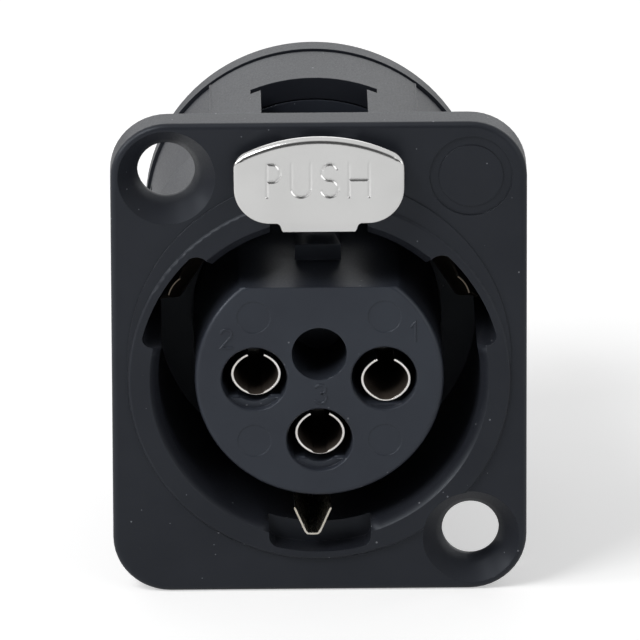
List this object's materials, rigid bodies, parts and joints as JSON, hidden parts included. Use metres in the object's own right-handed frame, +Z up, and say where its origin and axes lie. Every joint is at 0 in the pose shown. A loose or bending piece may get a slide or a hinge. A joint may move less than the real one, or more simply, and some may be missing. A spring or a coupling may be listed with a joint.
{
  "type": "xlr chassis receptacle",
  "caption": "Panel-mount female XLR audio socket with a rectangular countersunk flange, a push-release latch and a round stepped barrel with solder cups behind.",
  "frame": {"origin": "centre of the flange's back face, on the axis of the round panel cut-out, in the plane of the panel's front", "axes": "-Y out of the socket towards the user, +Y into the panel along the barrel, +Z up through the latch, +X to the right seen from the front"},
  "size_m": [0.026, 0.034, 0.031],
  "materials": {
    "black_body": "fine satin moulded black nylon",
    "black_insert": "satin moulded black nylon",
    "contact_plating": "silver-plated copper alloy",
    "nickel": "polished nickel-plated die casting",
    "spring_plating": "nickel-plated spring bronze",
    "spring_steel": "spring steel"
  },
  "bodies": {
    "receptacle": {"flange": "black_body", "barrel": "black_body", "drum": "black_body", "insert_right": "black_insert", "insert_left": "black_insert", "insert_low": "black_insert", "insert_base": "black_insert", "contact_1": "contact_plating", "contact_2": "contact_plating", "contact_3": "contact_plating", "contact_retainer": "black_insert", "rear_cap": "black_body", "ground_contact": "spring_plating", "side_spring_left": "spring_plating", "side_spring_right": "spring_plating", "latch_pin": "spring_steel", "latch_spring": "spring_steel"},
    "latch": {"latch": "nickel"}
  },
  "joints": [
    {"name": "latch_hinge", "type": "hinge", "parent": "receptacle", "child": "latch", "pos_m": [0, -0.0011, 0.0135], "axis": [1, 0, 0], "range_deg": [0, 8], "stiffness_Nm_per_rad": 0.006, "springref_deg": -57.3, "deforming": ["latch_spring"]}
  ]
}
